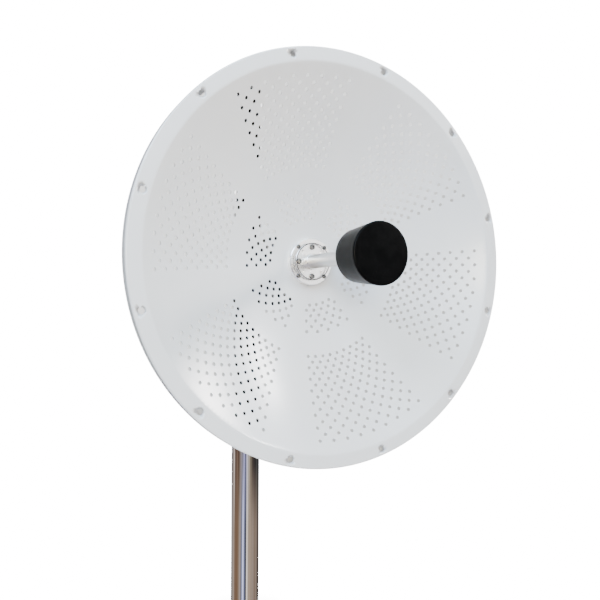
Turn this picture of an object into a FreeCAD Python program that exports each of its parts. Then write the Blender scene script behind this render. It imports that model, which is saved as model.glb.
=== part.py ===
import FreeCAD, Part
import math
import os

# Perforated 0.65 m point-to-point dish on a 2 inch mast. Millimetres, +Z up, the dish looks along -Y.
# The origin is the centre of the mast foot, on the mast axis.

V = FreeCAD.Vector
os.makedirs("parts", exist_ok=True)

# ---------------------------------------------------------------- driving dimensions
AXIS_X = 62.0            # boresight stands this far to the right of the mast
AXIS_Z = 650.0           # boresight height above the mast foot
RIM_Y = -231.0           # front plane of the rim flange
RIM_R = 325.0            # outside radius of the dish
FOCAL = 220.0            # paraboloid focal length
DEPTH = 104.0            # rim plane to vertex
SHEET = 1.5              # dish sheet thickness
HUB_FLAT_R = 43.0        # flat pressed into the middle of the dish
HUB_BORE_R = 28.0        # opening in the middle of the sheet, behind the hub ring
SKIRT_DEPTH = 25.0       # turned-back edge of the rim
LIP_W = 12.0             # inward return behind the skirt
RIM_BOLT_R = 313.5       # twelve cover holes in the flange
RIM_HOLE_D = 10.0
RING_BOLT_R = 34.3       # four small screws of the hub ring
DISC_BOLT_R = 24.4       # four large screws of the feed flange

MAST_R = 25.4
MAST_WALL = 2.0
MAST_L = 1000.0
MARK_Z = 520.0           # turned ring on the tube: a wall clamp or ground socket stays below it
MARK_W = 2.0
MARK_DEEP = 0.4

PIVOT_Y = -84.0          # elevation axis, parallel to X
PIVOT_Z = 638.0
LOCK_R = 42.0            # arc-slot radius about the elevation axis
TILT = 20.0              # degrees each way
EAR_T = 4.0

WEB_Y = -41.0            # front face of the mast bracket web
WEB_T = 5.0
EAR_X = 45.0             # left face of the mast bracket ear
TILT_EAR_X = 50.6        # left face of the tilt bracket ear
UBOLT_ROD = 8.0
UBOLT_LEG = 30.7
UBOLT_Z = (596.5, 679.5)

VERTEX_Y = RIM_Y + DEPTH
FLAT_Y = VERTEX_Y - HUB_FLAT_R ** 2 / (4 * FOCAL)
BACK_Y = FLAT_Y + SHEET
BASE_T = 4.0
BASE_Y = BACK_Y + BASE_T
RING_FRONT = RIM_Y + 92.0
DISC_FRONT = RING_FRONT - 1.3
SHOULDER_Y = RING_FRONT + 5.0

TUBE_R = 11.5
COAX_OFF = 2.5           # the two lines lie this far from the boresight, both ways
CAP_BACK = RIM_Y - 58.1
CAP_FRONT = RIM_Y - 117.9
CAP_R_BACK = 39.8
CAP_R_FRONT = 45.2

HOUSE_X0 = AXIS_X - 6.5
HOUSE_X1 = AXIS_X + 49.5
HOUSE_BACK = BASE_Y + 20.0
PORTS_X = (AXIS_X + 16.0, AXIS_X + 38.0)


# ---------------------------------------------------------------- helpers
def cyl(r, x, y, z, dx, dy, dz, h):
    return Part.makeCylinder(r, h, V(x, y, z), V(dx, dy, dz))


def on_axis(r, y0, y1):
    """Round bar on the boresight between two depths."""
    return cyl(r, AXIS_X, min(y0, y1), AXIS_Z, 0, 1, 0, abs(y1 - y0))


def box(x0, x1, y0, y1, z0, z1):
    return Part.makeBox(x1 - x0, y1 - y0, z1 - z0, V(x0, y0, z0))


def fuse(*shapes):
    out = shapes[0]
    for shape in shapes[1:]:
        out = out.fuse(shape)
    return out.removeSplitter()


def cut(shape, tools):
    return shape.cut(Part.makeCompound(tools)) if tools else shape


def around_axis(r, angle):
    a = math.radians(angle)
    return AXIS_X + r * math.cos(a), AXIS_Z + r * math.sin(a)


def profile_face(points):
    return Part.Face(Part.makePolygon([V(*p) for p in points] + [V(*points[0])]))


def turned(section):
    """Revolve a (radius, y) outline about the boresight."""
    face = profile_face([(AXIS_X + r, y, AXIS_Z) for r, y in section])
    return face.revolve(V(AXIS_X, 0, AXIS_Z), V(0, 1, 0), 360)


def extrude_x(points, x0, x1):
    """Extrude a (y, z) outline along X."""
    return profile_face([(x0, y, z) for y, z in points]).extrude(V(x1 - x0, 0, 0))


def extrude_z(points, z0, z1):
    """Extrude an (x, y) outline along Z."""
    return profile_face([(x, y, z0) for x, y in points]).extrude(V(0, 0, z1 - z0))


def hexagon(af, x, y, z, direction, h, turn=0.0):
    """Hexagonal prism, across-flats af, standing on (x, y, z) along +-X or +-Y."""
    r = af / math.sqrt(3)
    pts = []
    for k in range(6):
        a = math.radians(60 * k + turn)
        if direction[0]:
            pts.append((x, y + r * math.cos(a), z + r * math.sin(a)))
        else:
            pts.append((x + r * math.cos(a), y, z + r * math.sin(a)))
    prism = profile_face(pts).extrude(V(*direction) * h)
    return prism


def bevel_hex(af, x, y, z, direction, h, turn=0.0):
    """Hexagon with its far corners turned off, as on a nut or bolt head."""
    prism = hexagon(af, x, y, z, direction, h, turn)
    cone = Part.makeCone(af * 0.5 + 1.2 + h * 1.7, af * 0.5 - 0.3, h, V(x, y, z), V(*direction))
    return prism.common(cone)


def save(name, shape):
    shape.exportStep("parts/%s.step" % name)


def save_group(name, solids):
    save(name, Part.makeCompound(solids))


# ---------------------------------------------------------------- reflector
def paraboloid(r, offset):
    """Depth of the dish surface at radius r; offset moves it off the front face along its normal."""
    slope = r / (2 * FOCAL)
    y = VERTEX_Y - r * r / (4 * FOCAL)
    n = math.hypot(1.0, slope)
    return r + offset * slope / n, y + offset / n


def dish_curve(offset, radii):
    pts = [V(AXIS_X + a, b, AXIS_Z) for a, b in (paraboloid(r, offset) for r in radii)]
    spline = Part.BSplineCurve()
    spline.interpolate(pts)
    return spline.toShape(), pts[0], pts[-1]


def line(a, b):
    return Part.LineSegment(a, b).toShape()


def arc(a, m, b):
    return Part.Arc(a, m, b).toShape()


def at(r, y):
    return V(AXIS_X + r, y, AXIS_Z)


def reflector():
    radii = [46.5 + (300.5 - 46.5) * k / 14.0 for k in range(15)]
    front, f0, f1 = dish_curve(0.0, radii)
    back, b0, b1 = dish_curve(SHEET, radii)
    bore = at(HUB_BORE_R, FLAT_Y)
    bore_back = at(HUB_BORE_R, BACK_Y)
    flange_in = at(306.0, RIM_Y)
    flange_in_back = at(306.4, RIM_Y + SHEET)
    bend = 3.0
    corner = RIM_R - bend
    skirt = RIM_Y + SKIRT_DEPTH
    t = SHEET
    k = math.sin(math.radians(45))
    lip_in = RIM_R - LIP_W
    edges = [
        line(bore, at(42.0, FLAT_Y)),
        arc(at(42.0, FLAT_Y), at(44.3, FLAT_Y - 0.06), f0),
        front,
        arc(f1, at(303.0, RIM_Y + 0.42), flange_in),
        line(flange_in, at(corner, RIM_Y)),
        arc(at(corner, RIM_Y), at(corner + bend * k, RIM_Y + bend - bend * k), at(RIM_R, RIM_Y + bend)),
        line(at(RIM_R, RIM_Y + bend), at(RIM_R, skirt - bend)),
        arc(at(RIM_R, skirt - bend), at(corner + bend * k, skirt - bend + bend * k), at(corner, skirt)),
        line(at(corner, skirt), at(lip_in, skirt)),
        line(at(lip_in, skirt), at(lip_in, skirt - t)),
        line(at(lip_in, skirt - t), at(corner, skirt - t)),
        arc(at(corner, skirt - t), at(corner + (bend - t) * k, skirt - bend + (bend - t) * k),
            at(RIM_R - t, skirt - bend)),
        line(at(RIM_R - t, skirt - bend), at(RIM_R - t, RIM_Y + bend)),
        arc(at(RIM_R - t, RIM_Y + bend), at(corner + (bend - t) * k, RIM_Y + bend - (bend - t) * k),
            at(corner, RIM_Y + t)),
        line(at(corner, RIM_Y + t), flange_in_back),
        arc(flange_in_back, at(303.0 + 0.75, RIM_Y + 0.42 + t), b1),
        back,
        arc(b0, at(44.2, BACK_Y - 0.02), at(42.0, BACK_Y)),
        line(at(42.0, BACK_Y), bore_back),
        line(bore_back, bore),
    ]
    wire = Part.Wire(Part.__sortEdges__(edges))
    shell = Part.Face(wire).revolve(V(AXIS_X, 0, AXIS_Z), V(0, 1, 0), 360)
    tools = []
    for i in range(12):
        x, z = around_axis(RIM_BOLT_R, 15 + 30 * i)
        tools.append(cyl(RIM_HOLE_D / 2, x, RIM_Y - 2, z, 0, 1, 0, 8))
    for i in range(4):
        x, z = around_axis(RING_BOLT_R, 45 + 90 * i)
        tools.append(cyl(2.3, x, FLAT_Y - 2, z, 0, 1, 0, 8))
    return cut(shell, tools)


# ---------------------------------------------------------------- feed and hub
def hub_ring():
    ring = turned([(13.0, SHOULDER_Y), (31.0, SHOULDER_Y), (31.0, RING_FRONT), (38.3, RING_FRONT),
                   (39.5, RING_FRONT + 1.2), (39.5, FLAT_Y), (13.0, FLAT_Y)])
    tools = []
    for i in range(4):
        x, z = around_axis(RING_BOLT_R, 45 + 90 * i)
        tools.append(cyl(2.2, x, RING_FRONT - 2, z, 0, 1, 0, 20))
        tools.append(cyl(4.0, x, RING_FRONT - 2, z, 0, 1, 0, 3.0))
        x, z = around_axis(DISC_BOLT_R, 90 * i)
        tools.append(cyl(2.5, x, SHOULDER_Y - 1, z, 0, 1, 0, 12))
    return cut(ring, tools)


def feed_flange():
    disc = turned([(TUBE_R, DISC_FRONT), (TUBE_R, DISC_FRONT - 5.5), (12.4, DISC_FRONT - 5.5),
                   (13.0, DISC_FRONT - 4.9), (13.0, DISC_FRONT), (29.8, DISC_FRONT),
                   (30.5, DISC_FRONT + 0.7), (30.5, SHOULDER_Y), (12.8, SHOULDER_Y),
                   (12.8, BACK_Y), (TUBE_R, BACK_Y)])
    tools = []
    for i in range(4):
        x, z = around_axis(DISC_BOLT_R, 90 * i)
        tools.append(cyl(2.75, x, DISC_FRONT - 2, z, 0, 1, 0, 20))
        x, z = around_axis(DISC_BOLT_R, 45 + 90 * i)
        tools.append(cyl(2.1, x, DISC_FRONT - 2, z, 0, 1, 0, 6))
    tools.append(cyl(1.6, AXIS_X - 20, DISC_FRONT - 2.8, AXIS_Z, 1, 0, 0, 12))
    return cut(disc, tools)


def pan_screw(x, z, y_face, head_r, head_h, shank_r, length):
    head = cyl(head_r, x, y_face, z, 0, -1, 0, head_h)
    head = head.makeFillet(min(head_h, head_r) * 0.35, [e for e in head.Edges
                           if abs(e.BoundBox.YMin - (y_face - head_h)) < 1e-3
                           and abs(e.BoundBox.YMax - (y_face - head_h)) < 1e-3])
    shank = cyl(shank_r, x, y_face - 0.01, z, 0, 1, 0, length + 0.01)
    socket = hexagon(head_r * 0.95, x, y_face - head_h - 0.01, z, (0, 1, 0), head_h * 0.62)
    return fuse(head, shank).cut(socket)


def feed_tube():
    outer = on_axis(TUBE_R, BACK_Y, CAP_BACK - 12.0)
    inner = on_axis(TUBE_R - 1.5, BACK_Y + 1, CAP_BACK - 13.0)
    hole = cyl(1.4, AXIS_X - 20, DISC_FRONT - 2.8, AXIS_Z, 1, 0, 0, 10.5)
    return outer.cut(inner).cut(hole)


def feed_cap():
    wall = 2.5
    slope = (CAP_R_FRONT - CAP_R_BACK) / (CAP_BACK - CAP_FRONT)
    edge = 3.0
    front_r = CAP_R_FRONT - slope * edge
    k = math.sin(math.radians(45))
    edges = [
        line(at(0, CAP_FRONT), at(front_r - edge + slope * edge, CAP_FRONT)),
        arc(at(front_r - edge + slope * edge, CAP_FRONT),
            at(front_r - edge + edge * k + 0.05, CAP_FRONT + edge - edge * k), at(front_r, CAP_FRONT + edge)),
        line(at(front_r, CAP_FRONT + edge), at(CAP_R_BACK, CAP_BACK)),
        line(at(CAP_R_BACK, CAP_BACK), at(CAP_R_BACK - wall, CAP_BACK)),
        line(at(CAP_R_BACK - wall, CAP_BACK), at(front_r - wall - 0.2, CAP_FRONT + wall)),
        line(at(front_r - wall - 0.2, CAP_FRONT + wall), at(0, CAP_FRONT + wall)),
        line(at(0, CAP_FRONT + wall), at(0, CAP_FRONT)),
    ]
    face = Part.Face(Part.Wire(Part.__sortEdges__(edges)))
    return face.revolve(V(AXIS_X, 0, AXIS_Z), V(0, 1, 0), 360)


def cap_base():
    """Rear plate of the feed head: plugs the cap and grips the tube."""
    r = CAP_R_BACK - 2.5
    y = CAP_BACK - 0.8
    plate = turned([(TUBE_R, y), (16.5, y), (16.5, y - 3.5), (r - 0.2, y - 3.5), (r + 0.15, y - 8.0),
                    (r - 4.0, y - 8.0), (r - 4.0, y - 7.0), (17.0, y - 7.0), (17.0, y - 11.0),
                    (TUBE_R, y - 11.0)])
    groove = turned([(r - 1.2, y - 6.6), (r + 1.0, y - 6.6), (r + 1.0, y - 4.9), (r - 1.2, y - 4.9)])
    return plate.cut(groove)


def cap_seal():
    r = CAP_R_BACK - 2.5
    y = CAP_BACK - 0.8
    return turned([(r - 1.15, y - 6.5), (r + 0.4, y - 6.5), (r + 0.4, y - 5.0), (r - 1.15, y - 5.0)])


DISC_Y = CAP_FRONT + 5.5


def splash_plate():
    return turned([(4.0, DISC_Y), (40.0, DISC_Y), (40.0, DISC_Y + 1.5), (4.0, DISC_Y + 1.5)])


def feed_post():
    """Moulded post that centres the two dipole boards and carries the splash plate."""
    y0 = CAP_BACK - 10.0
    post = turned([(0, y0), (9.9, y0), (9.9, y0 - 8.0), (6.8, y0 - 8.0), (6.8, DISC_Y + 1.6),
                   (3.9, DISC_Y + 1.6), (3.9, CAP_FRONT + 2.6), (0, CAP_FRONT + 2.6)])
    slots = [box(AXIS_X - 20, AXIS_X + 20, DISC_Y + 3, y0 - 9, AXIS_Z - 0.5, AXIS_Z + 0.5),
             box(AXIS_X - 0.5, AXIS_X + 0.5, DISC_Y + 3, y0 - 9, AXIS_Z - 20, AXIS_Z + 20),
             cyl(1.9, AXIS_X - COAX_OFF, y0 + 1, AXIS_Z + COAX_OFF, 0, -1, 0, 10),
             cyl(1.9, AXIS_X + COAX_OFF, y0 + 1, AXIS_Z - COAX_OFF, 0, -1, 0, 10)]
    return cut(post, slots)


def dipole_board(vertical):
    """T-shaped circuit board, one polarisation each; the pair is slotted crosswise."""
    y_back = CAP_BACK - 19.4
    y_front = DISC_Y + 3.2
    y_arm = y_front + 9.5
    mid = (y_back + y_front) / 2
    half = 0.45
    if vertical:
        stem = box(AXIS_X - half, AXIS_X + half, y_front, y_back, AXIS_Z - 6.4, AXIS_Z + 6.4)
        arms = box(AXIS_X - half, AXIS_X + half, y_front, y_arm, AXIS_Z - 13.5, AXIS_Z + 13.5)
        slot = box(AXIS_X - 1, AXIS_X + 1, y_front - 1, mid + 0.1, AXIS_Z - 0.55, AXIS_Z + 0.55)
    else:
        stem = box(AXIS_X - 6.4, AXIS_X + 6.4, y_front, y_back, AXIS_Z - half, AXIS_Z + half)
        arms = box(AXIS_X - 13.5, AXIS_X + 13.5, y_front, y_arm, AXIS_Z - half, AXIS_Z + half)
        slot = box(AXIS_X - 0.55, AXIS_X + 0.55, mid - 0.1, y_back + 1, AXIS_Z - 1, AXIS_Z + 1)
    return fuse(stem, arms).cut(slot)


def coax(side):
    """Semi-rigid line from a dipole board, down the tube, bent over to its connector."""
    x0 = AXIS_X - COAX_OFF if side == 0 else AXIS_X + COAX_OFF
    z0 = AXIS_Z + COAX_OFF if side == 0 else AXIS_Z - COAX_OFF
    y_turn = BASE_Y + 9.0
    px = PORTS_X[1 - side]
    bend = 6.0
    k = bend * (1 - math.sin(math.radians(45)))
    path = Part.Wire([
        line(V(x0, CAP_BACK - 18.0, z0), V(x0, y_turn - bend, z0)),
        arc(V(x0, y_turn - bend, z0), V(x0 + k, y_turn - k, z0), V(x0 + bend, y_turn, z0)),
        line(V(x0 + bend, y_turn, z0), V(px, y_turn, z0)),
    ])
    start = Part.Wire(Part.makeCircle(1.8, V(x0, CAP_BACK - 18.0, z0), V(0, 1, 0)))
    return path.makePipeShell([start], True, False)


# ---------------------------------------------------------------- rear of the hub
def feed_housing():
    body = box(HOUSE_X0, HOUSE_X1, BASE_Y, HOUSE_BACK, AXIS_Z - 14, AXIS_Z + 14)
    body = body.makeFillet(3.0, [e for e in body.Edges
                                 if abs(e.BoundBox.YLength - (HOUSE_BACK - BASE_Y)) < 1e-3])
    body = body.makeFillet(1.2, [e for e in body.Edges
                                 if abs(e.BoundBox.YMin - HOUSE_BACK) < 1e-3])
    spigot = cyl(15.0, AXIS_X, BACK_Y + 0.2, AXIS_Z, 0, 1, 0, BASE_T)
    spigot = spigot.common(box(HOUSE_X0, AXIS_X + 20, BACK_Y, BASE_Y + 1, AXIS_Z - 14, AXIS_Z + 14))
    cavity = box(HOUSE_X0 + 2.0, HOUSE_X1 - 2.5, BASE_Y - 0.01, HOUSE_BACK - 3, AXIS_Z - 11.5, AXIS_Z + 11.5)
    tools = [cavity, cyl(10.0, AXIS_X, BACK_Y - 1, AXIS_Z, 0, 1, 0, 10)]
    tools += [cyl(5.0, x, HOUSE_BACK - 5, AXIS_Z, 0, 1, 0, 10) for x in PORTS_X]
    tools += [cyl(1.6, x, BASE_Y - 1, z, 0, 1, 0, 8) for x, z in housing_holes()]
    return cut(fuse(body, spigot), tools)


def housing_holes():
    return [(HOUSE_X1 - 1.8, AXIS_Z - 12.2), (HOUSE_X1 - 1.8, AXIS_Z + 12.2)]


def connector(x):
    """Female N connector: flange washer, hexagon and threaded barrel with its socket."""
    y = HOUSE_BACK
    flange = cyl(9.4, x, y, AXIS_Z, 0, 1, 0, 1.6)
    hexa = bevel_hex(16.0, x, y + 1.6, AXIS_Z, (0, 1, 0), 4.0)
    barrel = cyl(7.7, x, y + 5.5, AXIS_Z, 0, 1, 0, 13.5)
    tail = cyl(4.95, x, y - 9.2, AXIS_Z, 0, 1, 0, 9.7)
    ridges = [cyl(7.95, x, y + 7.2 + 1.5 * i, AXIS_Z, 0, 1, 0, 0.8) for i in range(8)]
    well = cyl(6.2, x, y + 8.5, AXIS_Z, 0, 1, 0, 12)
    core = cyl(1.6, x, y + 8.0, AXIS_Z, 0, 1, 0, 7.5)
    return fuse(fuse(flange, hexa, barrel, tail, *ridges).cut(well), core)


def port_nut(x):
    """Thin nut that holds the connector from inside the housing."""
    y = HOUSE_BACK - 3.0
    return hexagon(14.0, x, y, AXIS_Z, (0, -1, 0), 2.3, 30).cut(cyl(5.0, x, y + 1, AXIS_Z, 0, -1, 0, 5))


# ---------------------------------------------------------------- tilt bracket (rides with the dish)
def arc_slot(sign):
    """Arc slot about the elevation axis, wide enough for an M8 bolt."""
    half = 4.3
    inner = LOCK_R - half
    outer = LOCK_R + half
    sweep = TILT + 1.0
    start = 90 * sign - sweep
    ring = Part.makeCylinder(outer, 20, V(TILT_EAR_X - 8, PIVOT_Y, PIVOT_Z), V(1, 0, 0))
    ring = ring.cut(Part.makeCylinder(inner, 22, V(TILT_EAR_X - 9, PIVOT_Y, PIVOT_Z), V(1, 0, 0)))
    a0 = math.radians(start)
    a1 = math.radians(start + 2 * sweep)
    far = 90.0
    tri = [(PIVOT_Y, PIVOT_Z), (PIVOT_Y + far * math.cos(a0), PIVOT_Z + far * math.sin(a0)),
           (PIVOT_Y + far * math.cos(a1), PIVOT_Z + far * math.sin(a1))]
    sector = extrude_x(tri, TILT_EAR_X - 8, TILT_EAR_X + 12)
    ends = [cyl(half, TILT_EAR_X - 8, PIVOT_Y + LOCK_R * math.cos(a), PIVOT_Z + LOCK_R * math.sin(a),
                1, 0, 0, 20) for a in (a0, a1)]
    return fuse(ring.common(sector), *ends)


def tilt_bracket():
    base = box(AXIS_X - 50, AXIS_X + 50, BACK_Y, BASE_Y, AXIS_Z - 50, AXIS_Z + 50)
    base = base.makeFillet(12.0, [e for e in base.Edges if abs(e.BoundBox.YLength - BASE_T) < 1e-3])
    radius = 54.0
    round_part = cyl(radius, TILT_EAR_X, PIVOT_Y, PIVOT_Z, 1, 0, 0, EAR_T)
    round_part = round_part.common(box(TILT_EAR_X, TILT_EAR_X + EAR_T, BACK_Y, PIVOT_Y + 15,
                                       PIVOT_Z - 60, PIVOT_Z + 60))
    neck = extrude_x([(BACK_Y + 1, AXIS_Z - 47), (BACK_Y + 1, AXIS_Z + 47),
                      (PIVOT_Y - 6, PIVOT_Z + 53), (PIVOT_Y - 6, PIVOT_Z - 53)],
                     TILT_EAR_X, TILT_EAR_X + EAR_T)
    ribs = [extrude_z([(TILT_EAR_X + 1, BASE_Y - 0.5), (TILT_EAR_X + 1, BASE_Y + 22), (AXIS_X + 46, BASE_Y - 0.5)],
                      z - 2, z + 2) for z in (AXIS_Z - 40, AXIS_Z + 40)]
    body = fuse(base, round_part, neck, *ribs)
    tools = [cyl(5.3, TILT_EAR_X - 2, PIVOT_Y, PIVOT_Z, 1, 0, 0, 10), arc_slot(1), arc_slot(-1),
             cyl(15.4, AXIS_X, BACK_Y - 1, AXIS_Z, 0, 1, 0, 3 + BASE_T)]
    for i in range(4):
        x, z = around_axis(RING_BOLT_R, 45 + 90 * i)
        tools.append(cyl(2.3, x, BACK_Y - 1, z, 0, 1, 0, 10))
    tools += [cyl(1.7, x, BACK_Y - 1, z, 0, 1, 0, 10) for x, z in housing_holes()]
    return cut(body, tools)


# ---------------------------------------------------------------- mast bracket (clamped to the mast)
def pole_bracket():
    z0 = AXIS_Z - 74.0
    z1 = AXIS_Z + 51.0
    web = box(-41.0, EAR_X + EAR_T, WEB_Y, WEB_Y + WEB_T, z0, z1)
    web = web.makeFillet(6.0, [e for e in web.Edges
                               if abs(e.BoundBox.YLength - WEB_T) < 1e-3 and e.BoundBox.XMax < 0])
    ear = extrude_x([(WEB_Y + WEB_T, z0), (WEB_Y, z0), (PIVOT_Y + 2, PIVOT_Z - 56),
                     (PIVOT_Y - 14, PIVOT_Z - 50), (PIVOT_Y - 14, PIVOT_Z + 50),
                     (PIVOT_Y + 2, PIVOT_Z + 56), (WEB_Y, z1), (WEB_Y + WEB_T, z1)],
                    EAR_X, EAR_X + EAR_T)
    gussets = [extrude_z([(EAR_X + 1, WEB_Y + 0.5), (EAR_X + 1, WEB_Y - 7), (EAR_X - 6, WEB_Y + 0.5)],
                         z - 2, z + 2) for z in (PIVOT_Z - 20, PIVOT_Z + 20)]
    body = fuse(web, ear, *gussets)
    tools = [cyl(5.2, EAR_X - 2, PIVOT_Y, PIVOT_Z, 1, 0, 0, 10)]
    for sign in (-1, 1):
        tools.append(cyl(4.2, EAR_X - 2, PIVOT_Y, PIVOT_Z + sign * LOCK_R, 1, 0, 0, 10))
    for z in UBOLT_Z:
        for x in (-UBOLT_LEG, UBOLT_LEG):
            tools.append(cyl(4.5, x, WEB_Y - 2, z, 0, 1, 0, 12))
    return cut(body, tools)


def saddle(z):
    """Toothed aluminium V-block between the bracket web and the mast."""
    half_h = 14.0
    back = WEB_Y + WEB_T
    front = -17.0
    a = math.radians(40)
    vertex = -(MAST_R + 0.3) / math.cos(a)
    reach = (front + 1 - vertex) / math.tan(a)
    block = box(-38, 38, back, front, z - half_h, z + half_h)
    groove = extrude_z([(0, vertex), (reach, front + 1), (-reach, front + 1)], z - half_h - 1, z + half_h + 1)
    teeth = []
    for i in range(5):
        for s in (-1, 1):
            t = 0.36 + 0.1 * i
            x = s * reach * t
            y = vertex + (front + 1 - vertex) * t
            teeth.append(cyl(0.9, x + s * 0.35, y - 0.4, z - half_h - 1, 0, 0, 1, 2 * half_h + 2))
    tools = [groove] + teeth
    tools += [cyl(4.4, x, back - 1, z, 0, 1, 0, 30) for x in (-UBOLT_LEG, UBOLT_LEG)]
    return cut(block, tools)


def u_bolt(z):
    r = UBOLT_ROD / 2
    end = WEB_Y - 18.0
    bend = Part.makeTorus(UBOLT_LEG, r, V(0, 0, z), V(0, 0, 1))
    bend = bend.common(box(-50, 50, 0, 50, z - 10, z + 10))
    legs = [cyl(r, x, end, z, 0, 1, 0, -end) for x in (-UBOLT_LEG, UBOLT_LEG)]
    body = fuse(bend, *legs)
    tip = [e for e in body.Edges if abs(e.BoundBox.YMax - end) < 1e-3]
    return body.makeChamfer(0.8, tip)


def washer_y(x, z, r, hole, y, t):
    return cyl(r, x, y, z, 0, -1, 0, t).cut(cyl(hole, x, y + 1, z, 0, -1, 0, t + 2))


def nut_y(af, hole, x, y, z, sign, h):
    body = bevel_hex(af, x, y, z, (0, sign, 0), h, 30)
    return body.cut(cyl(hole, x, y - sign, z, 0, sign, 0, h + 2))


def nut_x(af, hole, x, y, z, sign, h):
    body = bevel_hex(af, x, y, z, (sign, 0, 0), h, 30)
    return body.cut(cyl(hole, x - sign, y, z, sign, 0, 0, h + 2))


def washer_x(r, hole, x, y, z, sign, t):
    return cyl(r, x, y, z, sign, 0, 0, t).cut(cyl(hole, x - sign, y, z, sign, 0, 0, t + 2))


def hex_bolt_x(af, head_h, r, x_head, length, y, z):
    """Hexagon bolt lying along +X, its head to the left of x_head."""
    head = bevel_hex(af, x_head, y, z, (-1, 0, 0), head_h, 30)
    shank = cyl(r, x_head - 0.5, y, z, 1, 0, 0, length + 0.5)
    tip = [e for e in shank.Edges if abs(e.BoundBox.XMin - (x_head + length)) < 1e-3]
    return fuse(head, shank.makeChamfer(r * 0.2, tip))


# ---------------------------------------------------------------- write the nodes
mast = Part.makeCylinder(MAST_R, MAST_L).cut(Part.makeCylinder(MAST_R - MAST_WALL, MAST_L))
mark = Part.makeCylinder(MAST_R + 1, MARK_W, V(0, 0, MARK_Z))
mast = mast.cut(mark.cut(Part.makeCylinder(MAST_R - MARK_DEEP, MARK_W, V(0, 0, MARK_Z))))
save("mast", mast)
lid = Part.makeCylinder(MAST_R + 0.6, 3.5, V(0, 0, MAST_L))
lid = lid.makeFillet(1.6, [e for e in lid.Edges if e.BoundBox.ZMin > MAST_L + 3])
plug = Part.makeCylinder(MAST_R - MAST_WALL, 18, V(0, 0, MAST_L - 18))
plug = plug.cut(Part.makeCylinder(MAST_R - MAST_WALL - 2.5, 18, V(0, 0, MAST_L - 18)))
save("mast_plug", fuse(lid, plug))

save("pole_bracket", pole_bracket())
save_group("saddles", [saddle(z) for z in UBOLT_Z])
save_group("u_bolts", [u_bolt(z) for z in UBOLT_Z])
legs = [(x, z) for z in UBOLT_Z for x in (-UBOLT_LEG, UBOLT_LEG)]
save_group("u_bolt_washers", [washer_y(x, z, 8.5, 4.3, WEB_Y, 1.6) for x, z in legs])
save_group("u_bolt_nuts", [nut_y(13.0, 4.0, x, WEB_Y - 1.6, z, -1, 6.5) for x, z in legs])

gap0 = EAR_X + EAR_T
stack_r = TILT_EAR_X + EAR_T
locks = [PIVOT_Z - LOCK_R, PIVOT_Z + LOCK_R]
save("pivot_bolt", hex_bolt_x(16.0, 6.4, 5.0, EAR_X - 2.0, 26.5, PIVOT_Y, PIVOT_Z))
save("pivot_washer", washer_x(10.0, 5.3, EAR_X, PIVOT_Y, PIVOT_Z, -1, 2.0))
save("pivot_nut", nut_x(16.0, 5.0, stack_r + 2.6, PIVOT_Y, PIVOT_Z, 1, 8.0))
save_group("lock_bolts", [hex_bolt_x(13.0, 5.3, 4.0, EAR_X - 1.6, 26.5, PIVOT_Y, z) for z in locks])
save_group("lock_washers", [washer_x(8.5, 4.3, EAR_X, PIVOT_Y, z, -1, 1.6) for z in locks])
save_group("lock_nuts", [nut_x(13.0, 4.0, stack_r + 2.2, PIVOT_Y, z, 1, 6.5) for z in locks])
save_group("friction_washers",
           [washer_x(12.0, 5.3, gap0, PIVOT_Y, PIVOT_Z, 1, 1.2)]
           + [washer_x(10.0, 4.3, gap0, PIVOT_Y, z, 1, 1.2) for z in locks])
save_group("outer_washers",
           [washer_x(10.5, 5.3, stack_r + 0.4, PIVOT_Y, PIVOT_Z, 1, 2.2)]
           + [washer_x(9.0, 4.3, stack_r + 0.4, PIVOT_Y, z, 1, 1.8) for z in locks])

save("reflector", reflector())
save("tilt_bracket", tilt_bracket())
save("hub_ring", hub_ring())
save("feed_flange", feed_flange())
ring_bolts = [around_axis(RING_BOLT_R, 45 + 90 * i) for i in range(4)]
disc_bolts = [around_axis(DISC_BOLT_R, 90 * i) for i in range(4)]
ring_seat = RING_FRONT + 1.0
save_group("ring_screws", [pan_screw(x, z, ring_seat, 3.5, 2.6, 2.0, BASE_Y + 5.0 - ring_seat)
                           for x, z in ring_bolts])
save_group("ring_nuts", [nut_y(7.0, 2.0, x, BASE_Y, z, 1, 3.2) for x, z in ring_bolts])
save_group("flange_screws", [pan_screw(x, z, DISC_FRONT, 4.6, 3.0, 2.5, FLAT_Y - DISC_FRONT - 0.3)
                             for x, z in disc_bolts])
save("feed_tube", feed_tube())
save("set_screw", cyl(1.4, AXIS_X - 13.6, DISC_FRONT - 2.8, AXIS_Z, 1, 0, 0, 3.4))
save("feed_cap", feed_cap())
save("cap_base", cap_base())
save("cap_seal", cap_seal())
save("splash_plate", splash_plate())
save("feed_post", feed_post())
save("dipole_board_h", dipole_board(False))
save("dipole_board_v", dipole_board(True))
save("coax_h", coax(0))
save("coax_v", coax(1))
save("feed_housing", feed_housing())
save_group("housing_screws", [cyl(1.6, x, BACK_Y + 0.4, z, 0, 1, 0, 9.0) for x, z in housing_holes()])
save("port_h", connector(PORTS_X[1]))
save("port_v", connector(PORTS_X[0]))
save_group("port_nuts", [port_nut(x) for x in PORTS_X])
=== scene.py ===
import math

import bpy
import bmesh
import numpy as np
from mathutils import Matrix, Vector
from mathutils.geometry import delaunay_2d_cdt


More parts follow.
